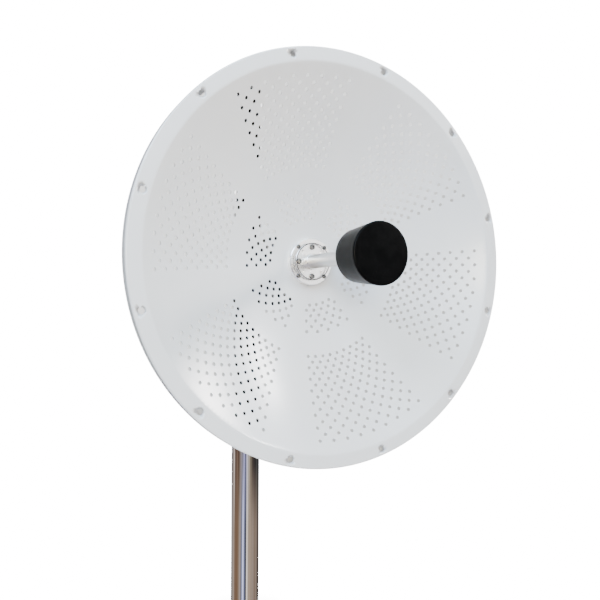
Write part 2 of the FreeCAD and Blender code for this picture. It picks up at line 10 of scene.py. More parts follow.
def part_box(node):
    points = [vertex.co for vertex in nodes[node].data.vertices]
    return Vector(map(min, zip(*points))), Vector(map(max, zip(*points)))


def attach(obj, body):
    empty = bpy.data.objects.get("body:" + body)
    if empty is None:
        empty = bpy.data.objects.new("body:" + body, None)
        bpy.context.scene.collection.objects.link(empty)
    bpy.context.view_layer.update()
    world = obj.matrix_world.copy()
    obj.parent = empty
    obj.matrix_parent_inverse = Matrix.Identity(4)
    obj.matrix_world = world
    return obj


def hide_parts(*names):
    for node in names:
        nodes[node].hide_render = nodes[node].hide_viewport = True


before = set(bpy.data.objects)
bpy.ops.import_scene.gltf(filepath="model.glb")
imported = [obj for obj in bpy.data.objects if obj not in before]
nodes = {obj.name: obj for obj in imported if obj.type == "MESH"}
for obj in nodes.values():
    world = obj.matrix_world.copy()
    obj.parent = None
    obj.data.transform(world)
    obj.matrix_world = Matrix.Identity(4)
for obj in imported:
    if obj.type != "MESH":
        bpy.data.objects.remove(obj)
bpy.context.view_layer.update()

# ---------------------------------------------------------------- dimensions, metres, CAD frame
AX, AZ = 0.062, 0.650
RIM_Y = -0.231
RIM_R = 0.325
FOCAL = 0.220
VERTEX_Y = RIM_Y + 0.104
SHEET = 0.0015
FLAT_R = 0.042
FLAT_Y = VERTEX_Y - 0.043 ** 2 / (4 * FOCAL)
BORE_R = 0.028
BOWL_R = 0.3005
FLANGE_R = 0.306
CORNER_R = 0.322
HOLE_R = 0.0029
RIM_BOLT_R = 0.3135
RIM_HOLE_R = 0.005
RING_BOLT_R = 0.0343
RING_SCREW_R = 0.0023
RISE_R = 0.0465
BEND_R = 0.003
SKIRT = 0.025
LIP = 0.012
MAST_R = 0.0254
MAST_WALL = 0.002
MAST_TOP = 1.0
MARK_Z, MARK_WIDE, MARK_DEEP = 0.520, 0.002, 0.0004
FANS = 6
FAN_START = 45
OUTER_R, OUTER_ROWS = 0.158, 15
INNER_R, INNER_ROWS = 0.073, 6
ROW_STEP = 0.009


# ---------------------------------------------------------------- node-material helpers
class Graph:
    """Small wrapper for building a node material in a few lines."""

    def __init__(self, name):
        self.mat = bpy.data.materials.new(name)
        self.mat.use_nodes = True
        self.tree = self.mat.node_tree
        self.tree.nodes.clear()
        self.out = self.tree.nodes.new("ShaderNodeOutputMaterial")
        self.bsdf = self.tree.nodes.new("ShaderNodeBsdfPrincipled")
        self.link(self.bsdf.outputs[0], self.out.inputs[0])
        self.coord = self.tree.nodes.new("ShaderNodeTexCoord").outputs["Object"]

    def link(self, a, b):
        self.tree.links.new(a, b)

    def put(self, socket, value):
        if isinstance(value, bpy.types.NodeSocket):
            self.link(value, socket)
        else:
            socket.default_value = value

    def scaled(self, sx, sy, sz, vector=None):
        n = self.tree.nodes.new("ShaderNodeMapping")
        n.inputs["Scale"].default_value = (sx, sy, sz)
        self.link(vector or self.coord, n.inputs["Vector"])
        return n.outputs[0]

    def noise(self, scale, detail=3.0, rough=0.55, vector=None):
        n = self.tree.nodes.new("ShaderNodeTexNoise")
        n.inputs["Scale"].default_value = scale
        n.inputs["Detail"].default_value = detail
        n.inputs["Roughness"].default_value = rough
        self.link(vector or self.coord, n.inputs["Vector"])
        return n.outputs[0]

    def span(self, value, low, high, to_low, to_high):
        n = self.tree.nodes.new("ShaderNodeMapRange")
        n.inputs["From Min"].default_value = low
        n.inputs["From Max"].default_value = high
        n.inputs["To Min"].default_value = to_low
        n.inputs["To Max"].default_value = to_high
        self.link(value, n.inputs["Value"])
        return n.outputs[0]

    def math(self, op, a, b=0.0):
        n = self.tree.nodes.new("ShaderNodeMath")
        n.operation = op
        self.put(n.inputs[0], a)
        self.put(n.inputs[1], b)
        return n.outputs[0]

    def mix(self, factor, a, b):
        n = self.tree.nodes.new("ShaderNodeMix")
        n.data_type = "RGBA"
        self.put(n.inputs[0], factor)
        self.put(n.inputs[6], a)
        self.put(n.inputs[7], b)
        return n.outputs[2]

    def ramp(self, value, stops):
        n = self.tree.nodes.new("ShaderNodeValToRGB")
        while len(n.color_ramp.elements) < len(stops):
            n.color_ramp.elements.new(0.5)
        for e, (p, c) in zip(n.color_ramp.elements, stops):
            e.position = p
            e.color = c
        self.link(value, n.inputs[0])
        return n.outputs[0]

    def bump(self, height, strength, distance, normal=None):
        n = self.tree.nodes.new("ShaderNodeBump")
        n.inputs["Strength"].default_value = strength
        n.inputs["Distance"].default_value = distance
        self.link(height, n.inputs["Height"])
        if normal is not None:
            self.link(normal, n.inputs["Normal"])
        return n.outputs[0]

    def rounded(self, radius, samples=4):
        n = self.tree.nodes.new("ShaderNodeBevel")
        n.samples = samples
        n.inputs["Radius"].default_value = radius
        return n.outputs[0]

    def set(self, **values):
        names = {"base": "Base Color", "metal": "Metallic", "rough": "Roughness", "normal": "Normal",
                 "coat": "Coat Weight", "coat_rough": "Coat Roughness", "spec": "Specular IOR Level"}
        for key, value in values.items():
            self.put(self.bsdf.inputs[names[key]], value)
        return self.mat


def grey(v, warm=0.0):
    return (v * (1 + warm), v, v * (1 - warm), 1.0)


def powder_coat():
    """White satin powder coat: orange peel, faint handling marks, a little dust."""
    g = Graph("white_powder")
    peel = g.noise(900.0, 2.0, 0.5)
    broad = g.noise(7.0, 4.0, 0.6)
    wipe = g.noise(26.0, 5.0, 0.65, g.scaled(1.0, 1.0, 0.25))
    tint = g.mix(g.span(broad, 0.35, 0.65, 0.0, 1.0), (0.80, 0.805, 0.81, 1), (0.835, 0.835, 0.83, 1))
    dust = g.span(wipe, 0.60, 0.80, 0.0, 0.22)
    tint = g.mix(dust, tint, (0.74, 0.735, 0.72, 1))
    rough = g.math("ADD", g.span(wipe, 0.3, 0.7, 0.17, 0.22), g.span(broad, 0.3, 0.7, -0.01, 0.01))
    normal = g.bump(peel, 0.06, 0.0002)
    return g.set(base=tint, rough=rough, spec=0.5, coat=0.45, coat_rough=0.17, normal=normal)


def stainless_mast():
    """Polished stainless tube: near-mirror, faint drawn lines along its length, finger haze."""
    g = Graph("mast_polish")
    lines = g.noise(420.0, 3.0, 0.6, g.scaled(1.0, 1.0, 0.006))
    haze = g.noise(14.0, 5.0, 0.65)
    wave = g.noise(9.0, 2.0, 0.5, g.scaled(1.0, 1.0, 0.35))
    tint = g.mix(g.span(haze, 0.35, 0.7, 0.0, 1.0), (0.80, 0.80, 0.81, 1), (0.74, 0.73, 0.725, 1))
    rough = g.math("ADD", g.span(haze, 0.35, 0.75, 0.03, 0.08), g.span(lines, 0.3, 0.7, 0.0, 0.03))
    normal = g.bump(lines, 0.05, 0.0002)
    normal = g.bump(wave, 0.12, 0.0006, normal)
    return g.set(base=tint, metal=1.0, rough=rough, normal=normal)


def metal(name, low, high, rough_low, rough_high, scale=60.0, streak=(1, 1, 1), bevel=0.0003, wear=0.25,
          bump=0.08, warm=0.0):
    """General metal: streaked or mottled tint and roughness, softened edges."""
    g = Graph(name)
    grain = g.noise(scale * 12, 4.0, 0.6, g.scaled(*streak))
    mottle = g.noise(scale, 4.0, 0.6)
    tint = g.mix(g.span(mottle, 0.3, 0.7, 0.0, 1.0), grey(low, warm), grey(high, warm))
    tint = g.mix(g.span(grain, 0.55, 0.8, 0.0, wear), tint, grey(low * 0.7, warm))
    rough = g.span(mottle, 0.3, 0.7, rough_low, rough_high)
    rough = g.math("ADD", rough, g.span(grain, 0.3, 0.7, -0.03, 0.05))
    normal = g.bump(grain, bump, 0.0002, g.rounded(bevel))
    return g.set(base=tint, metal=1.0, rough=rough, normal=normal)


def black_coat():
    """Near-black finish on the bracket plates: fine orange peel, a faint mottle in tint and roughness,
    softened edges.
    """
    g = Graph("near_black_finish")
    peel = g.noise(800.0, 2.0, 0.5)
    chalk = g.noise(18.0, 5.0, 0.7)
    tint = g.mix(g.span(chalk, 0.45, 0.75, 0.0, 1.0), (0.010, 0.010, 0.011, 1), (0.020, 0.020, 0.021, 1))
    rough = g.span(chalk, 0.3, 0.7, 0.36, 0.50)
    normal = g.bump(peel, 0.2, 0.0002, g.rounded(0.0006))
    return g.set(base=tint, rough=rough, spec=0.4, normal=normal)


def cap_plastic():
    """Black moulded plastic: very fine texture, slight scuffs and dust in patches."""
    g = Graph("black_plastic")
    grain = g.noise(1500.0, 2.0, 0.5)
    scuff = g.noise(60.0, 6.0, 0.7, g.scaled(1.0, 0.3, 1.0))
    fresh, scuffed = (0.0018, 0.0018, 0.0019, 1), (0.0032, 0.0032, 0.0033, 1)
    tint = g.mix(g.span(scuff, 0.45, 0.75, 0.0, 1.0), fresh, scuffed)
    rough = g.span(scuff, 0.3, 0.75, 0.30, 0.42)
    normal = g.bump(grain, 0.12, 0.00008)
    return g.set(base=tint, rough=rough, spec=0.05, normal=normal)


def plastic(name, a, b, rough, scale=80.0, bevel=0.0003):
    g = Graph(name)
    patch = g.noise(scale, 4.0, 0.6)
    grain = g.noise(scale * 14, 2.0, 0.5)
    tint = g.mix(g.span(patch, 0.35, 0.7, 0.0, 1.0), a, b)
    normal = g.bump(grain, 0.15, 0.0001, g.rounded(bevel))
    return g.set(base=tint, rough=g.span(patch, 0.3, 0.7, rough - 0.06, rough + 0.08), normal=normal)


def circuit_board():
    """Green solder mask with copper dipole strips showing through."""
    g = Graph("circuit_board")
    wave = g.tree.nodes.new("ShaderNodeTexWave")
    wave.inputs["Scale"].default_value = 60.0
    g.link(g.coord, wave.inputs["Vector"])
    patch = g.noise(120.0, 3.0, 0.6)
    tint = g.mix(g.span(wave.outputs[1], 0.45, 0.55, 0.0, 1.0), (0.03, 0.12, 0.05, 1), (0.07, 0.20, 0.08, 1))
    return g.set(base=tint, rough=g.span(patch, 0.3, 0.7, 0.22, 0.38), normal=g.bump(patch, 0.1, 0.0001))


# ---------------------------------------------------------------- mesh helpers
def piece(name, verts, faces, mat, body, replaces=(), smooth=True, normals=None):
    mesh = bpy.data.meshes.new(name)
    mesh.from_pydata([tuple(map(float, v)) for v in verts], [], faces)
    mesh.update()
    if smooth:
        mesh.polygons.foreach_set("use_smooth", [True] * len(mesh.polygons))
    if normals is not None:
        mesh.normals_split_custom_set(normals)
    mesh.materials.append(mat)
    obj = bpy.data.objects.new(name, mesh)
    bpy.context.scene.collection.objects.link(obj)
    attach(obj, body)
    if replaces:
        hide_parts(*replaces)
    return obj


def lathe(section, centre, axis, count, closed=True):
    """Revolve (radius, height) pairs about an axis; returns vertices and faces."""
    axis = Vector(axis).normalized()
    side = axis.orthogonal().normalized()
    other = axis.cross(side)
    verts = []
    for k in range(count):
        a = 2 * math.pi * k / count
        out = side * math.cos(a) + other * math.sin(a)
        for r, h in section:
            verts.append(Vector(centre) + out * r + axis * h)
    n = len(section)
    faces = []
    last = n if closed else n - 1
    for k in range(count):
        m = (k + 1) % count
        for i in range(last):
            j = (i + 1) % n
            faces.append((k * n + i, k * n + j, m * n + j, m * n + i))
    return verts, faces


def finish_mesh(obj, angle=35.0):
    """Merge doubled vertices, turn the normals outwards and mark edges sharper than angle."""
    mesh = obj.data
    bm = bmesh.new()
    bm.from_mesh(mesh)
    bmesh.ops.remove_doubles(bm, verts=bm.verts, dist=1e-7)
    bmesh.ops.recalc_face_normals(bm, faces=bm.faces)
    limit = math.radians(angle)
    for e in bm.edges:
        if len(e.link_faces) == 2 and e.calc_face_angle(0.0) > limit:
            e.smooth = False
    for f in bm.faces:
        f.smooth = True
    bm.to_mesh(mesh)
    bm.free()
    return obj


# ---------------------------------------------------------------- perforated reflector
def perforations():
    """Hole centres in polar form: six outer fans and six inner fans on a regular polar grid."""
    holes = []
    for fan in range(FANS):
        mid = FAN_START + 360 // FANS * fan
        for row in range(OUTER_ROWS):
            start, count = ((-20.0, 9), (-17.5, 8))[row % 2]
            for k in range(count):
                holes.append((OUTER_R + ROW_STEP * row, math.radians(mid + start + 5 * k)))
        for row in range(INNER_ROWS):
            start, count = ((-15.0, 4), (-20.0, 5))[row % 2]
            for k in range(count):
                holes.append((INNER_R + ROW_STEP * row, math.radians(mid + start + 10 * k)))
    return holes


def sheet_profile(r):
    """Front-face depth and slope of the sheet at radius r, from the hub flat to the rim corner."""
    def bowl(q):
        return VERTEX_Y - q * q / (4 * FOCAL), -q / (2 * FOCAL)
    if r <= FLAT_R:
        return FLAT_Y, 0.0
    if r >= FLANGE_R:
        return RIM_Y, 0.0
    if FLAT_R < r < RISE_R:
        a, b = FLAT_R, RISE_R
        y0, s0, (y1, s1) = FLAT_Y, 0.0, bowl(b)
    elif r > BOWL_R:
        a, b = BOWL_R, FLANGE_R
        (y0, s0), y1, s1 = bowl(a), RIM_Y, 0.0
    else:
        return bowl(r)
    t = (r - a) / (b - a)
    w = b - a
    y = ((2 * t ** 3 - 3 * t ** 2 + 1) * y0 + (t ** 3 - 2 * t ** 2 + t) * w * s0
         + (-2 * t ** 3 + 3 * t ** 2) * y1 + (t ** 3 - t ** 2) * w * s1)
    s = ((6 * t ** 2 - 6 * t) * y0 / w + (3 * t ** 2 - 4 * t + 1) * s0
         + (-6 * t ** 2 + 6 * t) * y1 / w + (3 * t ** 2 - 2 * t) * s1)
    return y, s


def build_reflector(mat):
    """Perforated sheet with its rim: a flat plan with holes, triangulated and then raised to the bowl."""
    rings = [BORE_R, 0.032, 0.037, FLAT_R, 0.0428, 0.0436, 0.0445, 0.0455, RISE_R]
    rings += [RISE_R + (BOWL_R - RISE_R) * k / 42.0 for k in range(1, 43)]
    rings += [0.3011, 0.3018, 0.3026, 0.3034, 0.3043, 0.3051, FLANGE_R, 0.3095, 0.3175, CORNER_R]
    around = 240
    holes = [(r, a, HOLE_R, 12) for r, a in perforations()]
    holes += [(RIM_BOLT_R, math.radians(15 + 30 * k), RIM_HOLE_R, 28) for k in range(12)]
    holes += [(RING_BOLT_R, math.radians(45 + 90 * k), RING_SCREW_R, 16) for k in range(4)]
    points, edges = [], []
    loops = []
    for r, a, size, count in holes:
        slope = sheet_profile(r)[1]
        squeeze = 1.0 / math.hypot(1.0, slope)
        first = len(points)
        for k in range(count):
            t = 2 * math.pi * k / count
            u, v = size * squeeze * math.cos(t), size * math.sin(t)
            x = (r + u) * math.cos(a) - v * math.sin(a)
            z = (r + u) * math.sin(a) + v * math.cos(a)
            points.append((x, z))
        loops.append(list(range(first, first + count)))
        edges += [(first + k, first + (k + 1) % count) for k in range(count)]
    centres = np.array([(r * math.cos(a), r * math.sin(a)) for r, a, _, _ in holes])
    sizes = np.array([h[2] for h in holes])
    for i, r in enumerate(rings):
        count = around if r > 0.12 else around // 2
        border = i in (0, len(rings) - 1)
        count = around if i == len(rings) - 1 else count
        first = len(points)
        made = 0
        for k in range(count):
            t = 2 * math.pi * (k + (0.5 if i % 2 and not border else 0.0)) / count
            p = (r * math.cos(t), r * math.sin(t))
            if border or np.all(np.hypot(centres[:, 0] - p[0], centres[:, 1] - p[1]) > sizes + 0.0012):
                points.append(p)
                made += 1
        if border:
            loops.append(list(range(first, first + made)))
            edges += [(first + k, first + (k + 1) % made) for k in range(made)]
    co, _, tris, origin, _, _ = delaunay_2d_cdt([Vector(p) for p in points], edges, [], 0, 1e-7, True)
    index = {}
    for new, olds in enumerate(origin):
        for old in olds:
            index[old] = new
    flat = np.array([(c.x, c.y) for c in co])
    tri = np.array([t for t in tris if len(t) == 3])
    mid = flat[tri].mean(1)
    far = np.hypot(mid[:, 0], mid[:, 1])
    keep = (far > BORE_R * 0.9995) & (far < CORNER_R)
    for c, s in zip(centres, sizes):
        keep &= np.hypot(mid[:, 0] - c[0], mid[:, 1] - c[1]) > s * 0.93
    tri = tri[keep]
    radius = np.hypot(flat[:, 0], flat[:, 1])
    prof = np.array([sheet_profile(r) for r in radius])
    length = np.hypot(1.0, prof[:, 1])
    out = flat / np.maximum(radius, 1e-9)[:, None]
    front_n = np.stack([out[:, 0] * prof[:, 1] / length, -1.0 / length, out[:, 1] * prof[:, 1] / length], 1)
    front = np.stack([AX + flat[:, 0], prof[:, 0], AZ + flat[:, 1]], 1)
    back = front - front_n * SHEET
    n = len(front)
    verts = np.concatenate([front, back])
    a, b, c = verts[tri[:, 0]], verts[tri[:, 1]], verts[tri[:, 2]]
    facing = np.einsum("ij,ij->i", np.cross(b - a, c - a), front_n[tri[:, 0]]) > 0
    tri = np.where(facing[:, None], tri, tri[:, ::-1])
    faces = [tuple(t) for t in tri.tolist()] + [tuple(t) for t in (tri[:, ::-1] + n).tolist()]
    normals = [tuple(front_n[v]) for t in tri for v in t]
    normals += [tuple(-front_n[v]) for t in tri[:, ::-1] for v in t]
    for loop in loops[:-1]:
        ids = [index[k] for k in loop]
        ring_centre = flat[ids].mean(0)
        hub = np.hypot(*ring_centre) < 0.01
        for k in range(len(ids)):
            p, q = ids[k], ids[(k + 1) % len(ids)]
            quad = (p, q, q + n, p + n)
            inward = ring_centre - (flat[p] + flat[q]) / 2
            e1, e2 = verts[q] - verts[p], verts[p + n] - verts[p]
            face_n = np.cross(e1, e2)
            if face_n[0] * inward[0] + face_n[2] * inward[1] < 0:
                quad = quad[::-1]
            faces.append(quad)
            for v in quad:
                way = ring_centre - flat[v % n] if not hub else -flat[v % n]
                way = way / max(np.hypot(*way), 1e-9)
                normals.append((way[0], 0.0, way[1]))
    # rim: outer bend, skirt, rear bend and return lip, front skin first and then back along the inside
    bend = BEND_R
    skirt = RIM_Y + SKIRT
    section = [(CORNER_R, RIM_Y, 0.0, -1.0)]
    steps = 6
    turns = [(math.sin(math.pi / 2 * k / steps), math.cos(math.pi / 2 * k / steps)) for k in range(steps + 1)]
    for s, c in turns[1:]:
        section.append((CORNER_R + bend * s, RIM_Y + bend - bend * c, s, -c))
    for s, c in turns:
        section.append((CORNER_R + bend * c, skirt - bend + bend * s, c, s))
    lip = RIM_R - LIP
    section.append((lip + 0.0006, skirt, 0.0, 1.0))
    section.append((lip, skirt - 0.0006, -1.0, 0.0))
    section.append((lip, skirt - SHEET + 0.0004, -1.0, 0.0))
    section.append((lip + 0.0006, skirt - SHEET, 0.0, -1.0))
    inner = bend - SHEET
    for s, c in turns:
        section.append((CORNER_R + inner * s, skirt - bend + inner * c, -s, -c))
    for s, c in turns:
        section.append((CORNER_R + inner * c, RIM_Y + bend - inner * s, -c, s))
    base = len(verts)
    rim_ids = [index[k] for k in loops[-1]]
    extra = []
    m = len(section)
    for vid in rim_ids:
        ox, oz = out[vid]
        for r, y, _, _ in section:
            extra.append((AX + ox * r, y, AZ + oz * r))
    verts = np.concatenate([verts, np.array(extra)])
    count = len(rim_ids)
    for k in range(count):
        for i in range(m - 1):
            quad = [(k, i), ((k + 1) % count, i), ((k + 1) % count, i + 1), (k, i + 1)]
            pts = [verts[base + p * m + q] for p, q in quad]
            way = np.cross(pts[1] - pts[0], pts[3] - pts[0])
            ox, oz = out[rim_ids[k]]
            nr, ny = section[i][2] + section[i + 1][2], section[i][3] + section[i + 1][3]
            if way[0] * ox * nr + way[1] * ny + way[2] * oz * nr < 0:
                quad = quad[::-1]
            ids = [base + p * m + q for p, q in quad]
            faces.append(tuple(ids))
            for p, q in quad:
                ox, oz = out[rim_ids[p]]
                nr, ny = section[q][2], section[q][3]
                normals.append((ox * nr, ny, oz * nr))
    return piece("reflector_sheet", verts, faces, mat, "dish", ["reflector"], True, normals)


# ---------------------------------------------------------------- mast
def build_mast(mat):
    """Open tube with a shallow turned ring that marks how deep it may be clamped."""
    r, wall, top, edge = MAST_R, MAST_WALL, MAST_TOP, 0.0004
    mark, deep, wide = MARK_Z, MARK_DEEP, MARK_WIDE
    section = [(r - edge, 0.0), (r, edge)]
    section += [(r, mark * k / 5.0) for k in range(1, 6)]
    section += [(r - deep, mark + deep / 2), (r - deep, mark + wide - deep / 2)]
    section += [(r, mark + wide + (top - mark - wide) * k / 5.0) for k in range(5)]
    section += [(r, top - edge), (r - edge, top), (r - wall + edge, top), (r - wall, top - edge),
                (r - wall, edge), (r - wall + edge, 0.0)]
    verts, faces = lathe(section, (0, 0, 0), (0, 0, 1), 192)
    obj = piece("mast_tube", verts, faces, mat, "mast", ["mast"])
    return finish_mesh(obj, 20)


# ---------------------------------------------------------------- feed head and hub
def bar(section, name, mat, node, count=96, angle=30.0):
    """Turned piece on the boresight from (radius, y) pairs given in millimetres."""
    pts = [(r / 1000.0, y / 1000.0) for r, y in section]
    verts, faces = lathe(pts, (AX, 0, AZ), (0, 1, 0), count, closed=False)
    obj = piece(name, verts, faces, mat, "dish", [node])
    return finish_mesh(obj, angle)


def arc_points(cx, cy, r, a0, a1, steps):
    """Points on an arc from a0 to a1 degrees."""
    return [(cx + r * math.cos(math.radians(a0 + (a1 - a0) * k / steps)),
             cy + r * math.sin(math.radians(a0 + (a1 - a0) * k / steps))) for k in range(steps + 1)]


def build_cap(mat):
    """Tapered cup, wider at the front; millimetres, measured from the rim plane."""
    rim = RIM_Y * 1000.0
    back, front = rim - 58.1, rim - 117.9
    wide, narrow = 45.2, 39.8
    taper = (wide - narrow) / (back - front)
    wall, edge, lip = 2.5, 2.6, 0.7
    r1 = wide - taper * edge
    section = [(0.0, front)]
    section += arc_points(r1 - edge + 0.25, front + edge, edge, -90, 0, 10)
    section += [(r1 - taper * k * 5, front + edge + 5 * k) for k in range(1, 10)]
    section += arc_points(narrow - lip, back - lip, lip, 0, 90, 4)
    section += arc_points(narrow - wall + 0.5, back - 0.5, 0.5, 90, 180, 3)
    section += [(r1 - wall - 0.2, front + wall), (0.0, front + wall)]
    return bar(section, "feed_cap_shell", mat, "feed_cap", 128, 40)


def build_seal(mat):
    """Rubber ring that lies in the gap between the feed flange and the hub ring."""
    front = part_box("feed_flange")[0].y * 1000.0
    section = arc_points(30.45, front + 0.35, 0.72, 0, 360, 10)[:-1]
    pts = [(r / 1000.0, y / 1000.0) for r, y in section]
    verts, faces = lathe(pts, (AX, 0, AZ), (0, 1, 0), 96)
    return finish_mesh(piece("flange_seal", verts, faces, mat, "dish"), 60)


# ---------------------------------------------------------------- stage
def plain(name, value):
    """Matt grey card or cloth of one tone, very slightly mottled."""
    g = Graph(name)
    spot = g.noise(3.0, 2.0, 0.5)
    tint = g.mix(g.span(spot, 0.3, 0.7, 0.0, 1.0), grey(value), grey(value * 1.01))
    return g.set(base=tint, rough=0.9, spec=0.1)


def card(name, centre, width, height, mat):
    """Upright rectangle facing +Y."""
    side = Vector((-width / 2, 0, 0))
    up = Vector((0, 0, height / 2))
    c = Vector(centre)
    corners = [c - side - up, c + side - up, c + side + up, c - side + up]
    mesh = bpy.data.meshes.new(name)
    mesh.from_pydata([tuple(v) for v in corners], [], [(0, 1, 2, 3)])
    mesh.materials.append(mat)
    obj = bpy.data.objects.new(name, mesh)
    bpy.context.scene.collection.objects.link(obj)
    return obj


def area(name, where, target, size_x, size_y, power, colour=(1, 1, 1)):
    lamp = bpy.data.lights.new(name, "AREA")
    lamp.shape = "RECTANGLE"
    lamp.size, lamp.size_y = size_x, size_y
    lamp.energy = power
    lamp.color = colour
    obj = bpy.data.objects.new(name, lamp)
    bpy.context.scene.collection.objects.link(obj)
    obj.location = where
    obj.rotation_euler = (Vector(target) - Vector(where)).to_track_quat("-Z", "Y").to_euler()
    return obj


# ---------------------------------------------------------------- assemble
build_reflector(powder_coat())
mast = build_mast(stainless_mast())
cap_mat = cap_plastic()
build_cap(cap_mat)
rubber = plastic("seal_rubber", (0.012, 0.012, 0.012, 1), (0.02, 0.02, 0.02, 1), 0.6)
build_seal(rubber)

bracket = black_coat()
zinc = metal("zinc_plate", 0.50, 0.60, 0.22, 0.36, 90.0, bevel=0.0004)
machined = metal("machined_alloy", 0.88, 0.93, 0.24, 0.30, 40.0,
                 bevel=0.0003, wear=0.06, bump=0.02, warm=0.010)
tube = metal("tube_alloy", 0.66, 0.72, 0.30, 0.36, 60.0,
             streak=(1, 0.04, 1), bevel=0.0002, wear=0.08, bump=0.03)
# screw steel painted dark: painted shade standing in for the shade in the small socket heads
shaded_screw_steel = metal("screw_steel_painted_shade", 0.12, 0.18, 0.16, 0.24, 160.0, bevel=0.0003, warm=0.02)
cast = metal("cast_alloy", 0.46, 0.56, 0.42, 0.56, 60.0, bevel=0.0006, bump=0.25)
nickel = metal("nickel_plate", 0.58, 0.66, 0.12, 0.22, 120.0, bevel=0.0002, warm=0.04)
nylon = plastic("black_nylon", (0.02, 0.02, 0.021, 1), (0.035, 0.035, 0.036, 1), 0.5)
acetal = plastic("white_acetal", (0.72, 0.71, 0.67, 1), (0.78, 0.77, 0.74, 1), 0.4)
copper = metal("copper_line", 0.5, 0.6, 0.25, 0.4, 90.0, warm=0.3)
board = circuit_board()

finishes = {
    "mast_plug": cap_mat, "pole_bracket": bracket, "tilt_bracket": bracket, "saddles": cast, "u_bolts": zinc,
    "u_bolt_washers": zinc, "u_bolt_nuts": zinc, "pivot_bolt": zinc, "pivot_washer": zinc, "pivot_nut": zinc,
    "lock_bolts": zinc, "lock_washers": zinc, "lock_nuts": zinc, "outer_washers": zinc,
    "friction_washers": nylon, "hub_ring": machined, "feed_flange": machined, "ring_screws": shaded_screw_steel,
    "ring_nuts": shaded_screw_steel, "flange_screws": shaded_screw_steel, "set_screw": shaded_screw_steel, "feed_tube": tube, "cap_base": cap_mat,
    "cap_seal": rubber, "splash_plate": tube, "feed_post": acetal, "dipole_board_h": board,
    "dipole_board_v": board, "coax_h": copper, "coax_v": copper, "feed_housing": cast,
    "housing_screws": shaded_screw_steel, "port_h": nickel, "port_v": nickel, "port_nuts": nickel,
}
for name, mat in finishes.items():
    mesh = nodes[name].data
    mesh.materials.clear()
    mesh.materials.append(mat)

# ---------------------------------------------------------------- camera
camera = bpy.data.cameras.new("camera")
camera.sensor_width = 36.0
camera.lens = 37.3
cam = bpy.data.objects.new("camera", camera)
bpy.context.scene.collection.objects.link(cam)
eye = Vector((-0.4205, -1.0659, 0.5805))
forward = Vector((0.4455, 0.8953, 0.0048)).normalized()
roll = math.radians(0.34)
level = forward.cross(Vector((0, 0, 1))).normalized()
upright = level.cross(forward).normalized()
right = (level * math.cos(roll) + upright * math.sin(roll)).normalized()
above = right.cross(forward).normalized()
cam.matrix_world = Matrix.Translation(eye) @ Matrix((right, above, -forward)).transposed().to_4x4()
bpy.context.scene.camera = cam


# ---------------------------------------------------------------- floor
# brightness of the backdrop: for the camera, and the painted shade in other directions than the photo's
# through the holes
WHITE = 16.5
HOLE_SHADE_TONE = 0.25


def floor_paper():
    """Pale seamless paper. It is as bright as the room round it, with a painted shadow a little darker where
    the mast stands and painted shade where it shows through the holes.
    """
    g = Graph("floor_paper")
    fibre = g.noise(40.0, 4.0, 0.6)
    tint = g.mix(g.span(fibre, 0.3, 0.7, 0.0, 1.0), (0.86, 0.86, 0.86, 1), (0.89, 0.89, 0.89, 1))
    glow = g.tree.nodes.new("ShaderNodeEmission")
    far = g.tree.nodes.new("ShaderNodeVectorMath")
    far.operation = "LENGTH"
    g.link(g.coord, far.inputs[0])
    path = g.tree.nodes.new("ShaderNodeLightPath")
    # painted shadow: the glow is half as strong at the foot of the mast and full from 0.11 m out
    bright = g.span(far.outputs["Value"], 0.03, 0.11, 0.5 * WHITE, WHITE)
    # painted shade: seen through the holes of the sheet, the floor drops to the hole shade tone
    through = g.math("GREATER_THAN", path.outputs["Transparent Depth"], 0.5)
    glow_with_painted_shade = g.math("MULTIPLY", bright, g.span(through, 0.0, 1.0, 1.0, HOLE_SHADE_TONE / WHITE))
    g.link(glow_with_painted_shade, glow.inputs[1])
    both = g.tree.nodes.new("ShaderNodeMixShader")
    g.link(path.outputs["Is Camera Ray"], both.inputs[0])
    g.link(g.bsdf.outputs[0], both.inputs[1])
    g.link(glow.outputs[0], both.inputs[2])
    g.link(both.outputs[0], g.out.inputs[0])
    return g.set(base=tint, rough=0.9, spec=0.1)


def disc(name, radius, z, mat, count=96):
    mesh = bpy.data.meshes.new(name)
    ring = [(radius * math.cos(2 * math.pi * k / count), radius * math.sin(2 * math.pi * k / count), z)
            for k in range(count)]
    mesh.from_pydata(ring, [], [tuple(range(count))])
    mesh.materials.append(mat)
    obj = bpy.data.objects.new(name, mesh)
    bpy.context.scene.collection.objects.link(obj)
    return obj


# wide enough to stand on and low enough not to touch the foot; polished metal doesn't mirror it
floor = disc("floor", 0.98, -0.0005, floor_paper())
floor.visible_glossy = False


# ---------------------------------------------------------------- room
# painted shade that shows through the holes in the photo's view: lower right, upper left
HOLE_SHADE_PATCH = (0.90, 1.72)
